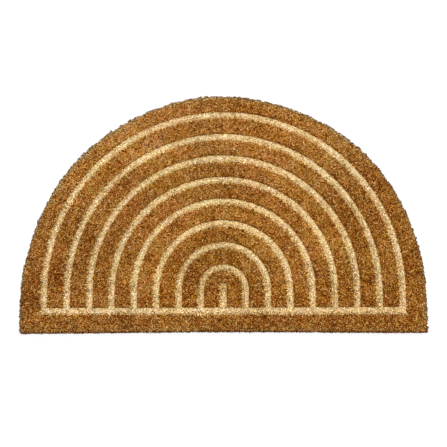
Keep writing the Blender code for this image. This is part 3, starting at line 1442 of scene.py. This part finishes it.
@dataclass
class BrownPile(Pile):
    """The brown pile, cut back to the outline and out of the bands.

    On the side that the pile leans to, a band's edge is a blend of both colours. On the other side it is
    sharp, and painted shade darkens the tone of the brown fibres there.
    """

    name: str = "brown_pile"
    finish: Finish = BROWN_FIBRES
    tuft: Tuft = BROWN_TUFT
    strips: int = 4
    pitch: float = 4.2 * MM
    shake: float = 0.3
    tuft_inset: float = 0.8 * MM
    tuft_overlap: float = 5.5 * MM
    stray_facing: Ramp = Ramp(-1.0, 1 / 3, 0.2, 0.8)
    stray_edge: float = 0.85
    stray_reach: float = 3.2 * MM
    stray_gap: float = 0.4
    stray_slope: float = 0.6
    stray_drop: float = 1.6 * MM
    shaded_edge: float = 1.8 * MM
    shade_by_x: Ramp = Ramp(-250.0 * MM, 550 / 3 * MM, 0.0, 1.3)
    edge_shade: float = 0.36
    top_light_slope: float = 0.8
    dull_rim: float = 5.0 * MM
    dull_reach: float = 4.0 * MM
    front_dull: float = 0.12
    front_strip: float = 36.0 * MM
    front_rim_dull: float = 0.4
    patch_spread: float = 0.6
    dull_stray: float = 0.6
    rank_slope: float = 1.1
    dull_tone: float = 0.03
    front_zone: float = 5.0 * MM
    front_wobble: float = 0.7 * MM
    cut_wobble: float = 1.5 * MM
    front_inset: float = 0.6 * MM
    cut_inset: float = 1.2 * MM
    rim_drop: float = 1.6 * MM
    rim_round: Ramp = Ramp(0.0, 3.0 * MM, 1.0, 0.0)

    def lattice(self) -> np.ndarray:
        """Places the tufts on a shaken triangular grid, in the mat but not deep inside its bands.

        Returns:
            x and y of each tuft.
        """
        pitch = self.pitch
        low, high = CAD_BOX
        rows = np.arange(low.y - pitch, high.y + pitch, pitch * math.sqrt(3) / 2)
        columns = np.arange(low.x - pitch, high.x + pitch, pitch)
        x, y = np.meshgrid(columns, rows)
        x = x + (np.arange(len(rows)) % 2)[:, None] * pitch / 2
        places = np.c_[x.ravel(), y.ravel()]
        places = places + self.rng.uniform(-self.shake, self.shake, places.shape) * pitch
        in_mat = self.outline.depth(places) > self.tuft_inset
        return places[in_mat & (self.bands.clear(places) > -self.tuft_overlap)]

    def strays(self, clear: np.ndarray, facing: np.ndarray) -> np.ndarray:
        """Picks the fibres that stand in a band: most near its edge, some in the gap between its rows.

        Args:
            clear: how far outside the bands each fibre stands.
            facing: how much its band's edge faces the way that the pile leans.

        Returns:
            A mask.
        """
        at_edge = self.stray_edge * np.exp(clear / self.stray_reach)
        chance = self.stray_facing.at(facing) * (at_edge + self.stray_gap * self.in_row_gap(clear))
        return (clear < 0) & (self.rng.uniform(0, 1, len(clear)) < chance)

    def dull(self, fibres: Fibres, depth: np.ndarray, from_front: np.ndarray) -> None:
        """Dulls fibres towards the rim and on the front strip, in small patches with strays between them.

        Args:
            fibres: the fibres, whose hue and tone are changed.
            depth: how far inside the outline each stands.
            from_front: how far behind the front edge each stands.
        """
        dullness = np.exp((self.dull_rim - depth) / self.dull_reach)
        dullness = dullness + self.front_dull * (from_front < self.front_strip)
        dullness *= np.where(from_front < self.front_zone, self.front_rim_dull, 1)
        chance = self.rng.uniform(0, 1, len(depth))
        rank = DULL_PATCHES.at(fibres.tip) / self.patch_spread
        rank = rank + self.dull_stray * np.log(chance / (1 - chance))
        # The ranks lie round 0. This curve turns them into shares that are about even between 0 and 1
        rank = 1 / (1 + np.exp(-self.rank_slope * rank))
        for part, hue in ((2 * dullness, BrownHue.FADED), (2 * dullness - 1, BrownHue.DULL)):
            fibres.hue[rank < part] = hue
            fibres.tone[rank < part] += self.dull_tone

    def fibres(self) -> Fibres:
        """Works out the fibres.

        Returns:
            Those that stand in the mat and outside its bands, and the strays in them.
        """
        centres = self.lattice()
        fibres = self.tufts(centres, np.repeat([[0.0, 1.0]], len(centres), 0))
        tips = fibres.tip[:, :2]
        clear = self.from_groove(tips) + self.uneven(tips)
        facing = self.bands.outward(tips) @ LAY
        strays = self.strays(clear, facing)
        # Painted shade: the brown fibres beside a band's sharp edge are toned darker, more so towards the
        # right
        shade = FACING.at(-facing) * np.exp(-np.maximum(clear, 0) / self.shaded_edge)
        shade *= self.shade_by_x.at(tips[:, 0])
        # Painted light: the brown tone rises towards the top of the mat, where the light comes from
        fibres.tone += self.top_light_slope * tips[:, 1] - self.edge_shade * shade
        depth = self.outline.depth(tips)
        from_front = self.outline.front_depth(tips)
        self.dull(fibres, depth, from_front)
        at_front = from_front < self.front_zone
        inset = np.where(at_front, self.front_inset, self.cut_inset)
        inside = depth - inset + CUT_EDGE.at(tips) * np.where(at_front, self.front_wobble, self.cut_wobble)
        fibres.tip[:, 2] -= self.rim_drop * self.rim_round.at(inside) ** 2
        fibres.tip[:, 2] -= np.clip(-clear * self.stray_slope, 0, self.stray_drop)
        return fibres.only(((clear > 0) | strays) & (inside > 0))


@dataclass
class CreamPile(Pile):
    """The cream pile, two rows of tufts to a band.

    The row on the side that the pile leans to is the darker one, as painted light lightens the other row,
    with painted shade in the gap beside it, and some of its fibres lean out over the brown.
    """

    name: str = "cream_pile"
    finish: Finish = CREAM_FIBRES
    tuft: Tuft = CREAM_TUFT
    strips: int = 2
    step: float = 4.3 * MM
    row_off: float = 0.25
    shake_along: float = 0.35
    shake_across: float = 0.5 * MM
    strip_grow: float = 0.9 * MM
    painted_light_tone: float = 0.14
    painted_light_rise: Ramp = Ramp(0.0, 1.2 * MM)
    row_gap_shade: float = 0.4
    row_gap_shade_by_x: Ramp = Ramp(20.0 * MM, 200.0 * MM, 0.1, 1.0)
    upper_shade: float = 0.28
    upper_rise: Ramp = Ramp(1.2 * MM, 5.2 * MM)
    crest_tone: Ramp = Ramp(0.0, 3.0 * MM, 0.2, 0.0)
    front_fade: Ramp = Ramp(-140.0 * MM, -40.0 * MM, 0.2, 0.0)
    top_fade: Ramp = Ramp(80.0 * MM, 160.0 * MM, 0.0, 0.1)
    side_rise: Ramp = Ramp(200.0 * MM, 300.0 * MM, 0.0, 0.06)
    push_reach: float = 1.5 * MM
    push_facing: Ramp = Ramp(-1.4, 0.6)
    push_from: float = -1.5 * MM
    push_to: float = 4.0 * MM
    climb: float = 1.8 * MM
    climb_from: float = 1.0 * MM
    climb_facing: Ramp = Ramp(-0.5, 0.0)
    edge_warmth: float = 0.7
    warmth_facing: float = 0.4
    warmth_reach: float = 2.0 * MM
    warmth_seed: int = 24

    def rows(self) -> tuple[np.ndarray, np.ndarray]:
        """Places the tufts, two rows to a band.

        Returns:
            The places and the unit vectors across their rows.
        """
        bands, step = self.bands, self.step
        top_y = bands.bar_y + bands.centre_bar_up
        rows = []
        for offset in (-self.row_off, self.row_off):
            rows += [bands.arch_row(radius + offset * bands.width, step) for radius in bands.radii]
            y = bands.bar_y + offset * bands.bar_width
            rows.append(bands.straight_row((-bands.half_bar, y), (bands.half_bar, y), step))
            x = offset * bands.width
            rows.append(bands.straight_row((x, bands.bar_y), (x, top_y), step))
        centres = np.vstack([points for points, _ in rows])
        across = np.vstack([away for _, away in rows])
        one_each = (len(centres), 1)
        slide = self.rng.uniform(-self.shake_along, self.shake_along, one_each) * step
        centres = centres + quarter_turn(across) * slide
        return centres + across * self.rng.uniform(-1, 1, one_each) * self.shake_across, across

    def tone_in_band(self, clear: np.ndarray, outward: np.ndarray, x: np.ndarray) -> np.ndarray:
        """Paints light and shade onto the fibres by their place across their band, and lightens the band's
        middle.

        Args:
            clear: how far outside the band each fibre stands.
            outward: the way out of the band there.
            x: how far to the right it stands, as the painted shade in the gap between the rows is darker
                there.

        Returns:
            What is added to each fibre's tone.
        """
        from_middle = clear + self.bands.width / 2
        # Painted light: the row on the side away from the pile's lean is toned lighter
        bright = FACING.at(-(outward @ LAY)) * self.painted_light_rise.at(from_middle)
        # Painted shade: the gap between a band's two rows is toned darker, more so towards the right
        gap = FACING.at(-outward[:, 0]) * self.row_gap_shade_by_x.at(x) * self.in_row_gap(clear)
        # Painted shade: the band's upper side is toned darker, where the higher brown pile would shade it
        upper = FACING.at(outward[:, 1]) * self.upper_rise.at(from_middle)
        crest = self.crest_tone.at(from_middle)
        return self.painted_light_tone * bright - self.row_gap_shade * gap + crest - self.upper_shade * upper

    def tone_on_mat(self, x: np.ndarray, y: np.ndarray) -> np.ndarray:
        """Painted light and shade added to the fibres' tone, which falls to the front and the top and rises
        to the sides.
        """
        return self.side_rise.at(np.abs(x)) - self.front_fade.at(y) - self.top_fade.at(y)

    def fibres(self) -> Fibres:
        """Works out the fibres.

        Returns:
            Those that stand in the bands, and those that lean a little way out of them.
        """
        fibres = self.tufts(*self.rows())
        tips = fibres.tip[:, :2]
        outward = self.bands.outward(tips)
        facing = outward @ LAY
        clear = self.bands.clear(tips)
        fibres.tone += self.tone_in_band(clear, outward, tips[:, 0]) + self.tone_on_mat(*tips.T)
        push = self.push_facing.at(facing) * (clear > self.push_from)
        push *= self.rng.exponential(self.push_reach, len(tips))
        tips += outward * push[:, None]
        over = np.clip(self.from_groove(tips) + self.climb_from, 0, self.climb)
        fibres.tip[:, 2] += over * self.climb_facing.at(facing)
        clear = self.bands.clear(tips) + self.uneven(tips)
        # A warmer, yellower hue for cream fibres near a band's edge, more on its sharp side
        chance = np.random.default_rng(self.warmth_seed).uniform(0, 1, len(tips))
        edge_warmth = self.edge_warmth * (1 - self.warmth_facing * facing) * np.exp(clear / self.warmth_reach)
        fibres.hue[chance < edge_warmth] = CreamHue.WARMER
        return fibres.only((clear < self.strip_grow) | (push > 0) & (clear < self.push_to))


class EdgeLayer(NamedTuple):
    """One row of edge fibres: how far inside the outline they stand, and how far their tips lean out."""

    inset: float
    lean: float


@dataclass
class EdgePile:
    """The fibres that the cut edge lays bare: they stand along the mat's side from its foot to its top."""

    outline: Outline
    rng: np.random.Generator
    layers: tuple[EdgeLayer, ...] = (
        EdgeLayer(2.6 * MM, 0.4 * MM), EdgeLayer(2.2 * MM, 0.8 * MM), EdgeLayer(1.8 * MM, 1.1 * MM),
    )
    bend: Joint = Joint(0.5, 0.75)
    spacing: float = 0.62 * MM
    foot_slide: float = 0.4 * MM
    tip_slide: float = 1.6 * MM
    lean_share: Bell = (0.8, 0.5)
    foot_z: Even = (0.4 * MM, 4.0 * MM)
    top_z: float = 14.0 * MM
    top_drop: float = 1.4 * MM
    bulge: Bell = (0.25 * MM, 0.2 * MM)
    width: float = 0.8 * MM
    width_share: Even = (0.7, 1.3)
    tone: Bell = (0.3, 0.15)
    dull_share: float = 0.8
    cut_wobble: float = 1.4 * MM
    front_wobble: float = 0.5 * MM
    front_zone: float = 4.0 * MM
    front_out: float = 0.6 * MM
    front_shade: float = 0.16

    def row(self, layer: EdgeLayer) -> Fibres:
        """Sets one row of fibres round the mat.

        Args:
            layer: the row's place and lean.

        Returns:
            Its fibres.
        """
        rng = self.rng
        foot, outward = self.outline.points(layer.inset, self.spacing)
        along = quarter_turn(outward)
        count, one_each = len(foot), (len(foot), 1)
        at_front = self.outline.front_depth(foot) < self.front_zone
        foot = foot + along * rng.normal(0, self.foot_slide, one_each)
        foot = foot + outward * at_front[:, None] * self.front_out
        ragged = -CUT_EDGE.at(foot) * np.where(at_front, self.front_wobble, self.cut_wobble)
        slide = rng.normal(0, self.tip_slide, one_each)
        out = ragged[:, None] + layer.lean * rng.normal(*self.lean_share, one_each)
        low = rng.uniform(*self.foot_z, count)
        high = self.top_z - np.abs(rng.normal(0, self.top_drop, count))
        return Fibres(
            root=np.c_[foot, low],
            tip=np.c_[foot + along * slide + outward * out, high],
            bow=np.c_[outward * rng.normal(*self.bulge, one_each), np.zeros(count)],
            width=self.width * rng.uniform(*self.width_share, count),
            turn=rng.uniform(0, 2 * math.pi, count),
            # Painted shade: fibres along the front edge are toned darker by front_shade
            tone=rng.normal(*self.tone, count) - self.front_shade * at_front,
            hue=self.hues(at_front),
        )

    def hues(self, at_front: np.ndarray) -> np.ndarray:
        """Picks the hues: mostly dull, but for some fibres and for all of those along the front edge.

        Args:
            at_front: which fibres stand along the front edge.

        Returns:
            A Hue or BrownHue for each fibre.
        """
        count = len(at_front)
        other = at_front | (self.rng.uniform(0, 1, count) > self.dull_share)
        return np.where(other, self.rng.integers(0, len(Hue), count), BrownHue.DULL)

    def build(self) -> bpy.types.Object:
        """Makes the piece from its rows, each further out than the one behind it."""
        rows = Fibres.together([self.row(layer) for layer in self.layers])
        return fibre_piece("edge_pile", FibreShape(self.bend), rows, BROWN_FIBRES)


@dataclass
class LooseFibres:
    """Single fibres that have worked loose and lie curved on top of the pile."""

    outline: Outline
    bands: Bands
    rng: np.random.Generator
    bends: tuple[Joint, ...] = (Joint(0.3, 0.75), Joint(0.65, 0.95))
    tries: int = 2600
    half_length: Even = (2.5 * MM, 6.5 * MM)
    curve: float = 1.8 * MM
    start_z: Even = (12.5 * MM, 14.1 * MM)
    end_z: Even = (14.5 * MM, 15.4 * MM)
    arch: Even = (0.2 * MM, 0.8 * MM)
    width: float = 0.62 * MM
    width_share: Even = (0.7, 1.3)
    tone: Bell = (0.8, 0.2)
    from_edge: float = 5.0 * MM
    from_band: float = 3.0 * MM

    def fibres(self) -> Fibres:
        """Works out where they lie.

        Returns:
            Those whose middles lie on the brown pile, a little in from its edges.
        """
        rng, count, one_each = self.rng, self.tries, (self.tries, 1)
        low, high = CAD_BOX
        middle = np.c_[rng.uniform(low.x, high.x, count), rng.uniform(low.y, high.y, count)]
        angle = rng.uniform(0, 2 * math.pi, count)
        way = np.c_[np.cos(angle), np.sin(angle)]
        half = way * rng.uniform(*self.half_length, one_each)
        curve = quarter_turn(way) * rng.normal(0, self.curve, one_each)
        batch = Fibres(
            root=np.c_[middle - half, rng.uniform(*self.start_z, count)],
            tip=np.c_[middle + half, rng.uniform(*self.end_z, count)],
            bow=np.c_[curve, rng.uniform(*self.arch, count)],
            width=self.width * rng.uniform(*self.width_share, count),
            turn=rng.uniform(0, 2 * math.pi, count),
            tone=rng.normal(*self.tone, count),
            hue=rng.integers(0, len(Hue), count),
        )
        on_mat = self.outline.depth(middle) > self.from_edge
        return batch.only(on_mat & (self.bands.clear(middle) > self.from_band))

    def build(self) -> bpy.types.Object:
        """Makes the piece."""
        return fibre_piece("loose_fibres", FibreShape(*self.bends), self.fibres(), BROWN_FIBRES)


@dataclass(frozen=True)
class Studio:
    """A white lit table, soft light from the top, and the camera almost straight above."""

    camera_at: tuple[float, float, float] = (0.00049, -0.29853, 1.86075)
    tilt_deg: float = 8.55
    roll_deg: float = -0.138
    focal_px: float = 1000.0
    sensor_width: float = 36.0
    clip_start: float = 0.05
    floor_side: float = 12.0
    floor_grey: float = 0.12
    floor_glow: float = 0.88
    floor_roughness: float = 0.8
    fill: float = 1.1
    key_at: tuple[float, float, float] = (1.2, 3.6, 5.0)
    key_side: float = 1.8
    key_watts: float = 700.0

    def camera(self) -> None:
        """Sets the photograph's view."""
        data = bpy.data.cameras.new("camera")
        data.sensor_width = self.sensor_width
        data.lens = self.focal_px * self.sensor_width / IMAGE_SIDE
        data.clip_start = self.clip_start
        camera = bpy.data.objects.new("camera", data)
        camera.matrix_world = (
            Matrix.Translation(self.camera_at)
            @ Matrix.Rotation(math.radians(self.tilt_deg), 4, "X")
            @ Matrix.Rotation(math.radians(self.roll_deg), 4, "Z")
        )
        bpy.context.scene.collection.objects.link(camera)
        bpy.context.scene.camera = camera

    def floor(self) -> None:
        """Lays the table top."""
        bm = bmesh.new()
        bmesh.ops.create_grid(bm, x_segments=1, y_segments=1, size=self.floor_side / 2)
        floor = mesh_object(bm, "floor")
        material = bpy.data.materials.new("white_table")
        material.use_nodes = True
        shader = material.node_tree.nodes["Principled BSDF"]
        shader.inputs["Base Color"].default_value = (*[self.floor_grey] * 3, 1.0)
        shader.inputs["Roughness"].default_value = self.floor_roughness
        shader.inputs["Emission Color"].default_value = WHITE
        shader.inputs["Emission Strength"].default_value = self.floor_glow
        floor.data.materials.append(material)
        bpy.context.scene.collection.objects.link(floor)

    def lights(self) -> None:
        """Hangs the key light and sets the fill from all round."""
        scene = bpy.context.scene
        data = bpy.data.lights.new("key", "AREA")
        data.shape = "DISK"
        data.size = self.key_side
        data.energy = self.key_watts
        key = bpy.data.objects.new("key", data)
        key.location = self.key_at
        key.rotation_euler = (-Vector(self.key_at)).to_track_quat("-Z", "Y").to_euler()
        scene.collection.objects.link(key)
        world = bpy.data.worlds.new("soft_fill")
        world.use_nodes = True
        sky = world.node_tree.nodes["Background"]
        sky.inputs["Color"].default_value = WHITE
        sky.inputs["Strength"].default_value = self.fill
        scene.world = world
        scene.view_settings.view_transform = "Standard"

    def build(self) -> None:
        """Sets the whole studio up."""
        self.camera()
        self.floor()
        self.lights()


def main() -> None:
    """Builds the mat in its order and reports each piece."""
    logging.basicConfig(level=logging.INFO, format="%(name)s: %(message)s")
    rng = np.random.default_rng(RANDOM_SEED)
    outline = Outline()
    bands = Bands(front_y=outline.front_y)
    Studio().build()
    bed = Bed(outline).build()
    layers = Underpile(outline, bands).build()
    pile = BrownPile(outline, bands, rng).build() + CreamPile(outline, bands, rng).build()
    edge = EdgePile(outline, rng).build()
    loose = LooseFibres(outline, bands, rng).build()
    for piece in (bed, *layers, *pile, edge, loose):
        log.info("%s: %d faces", piece.name, len(piece.data.polygons))


if __name__ == "__main__":
    main()
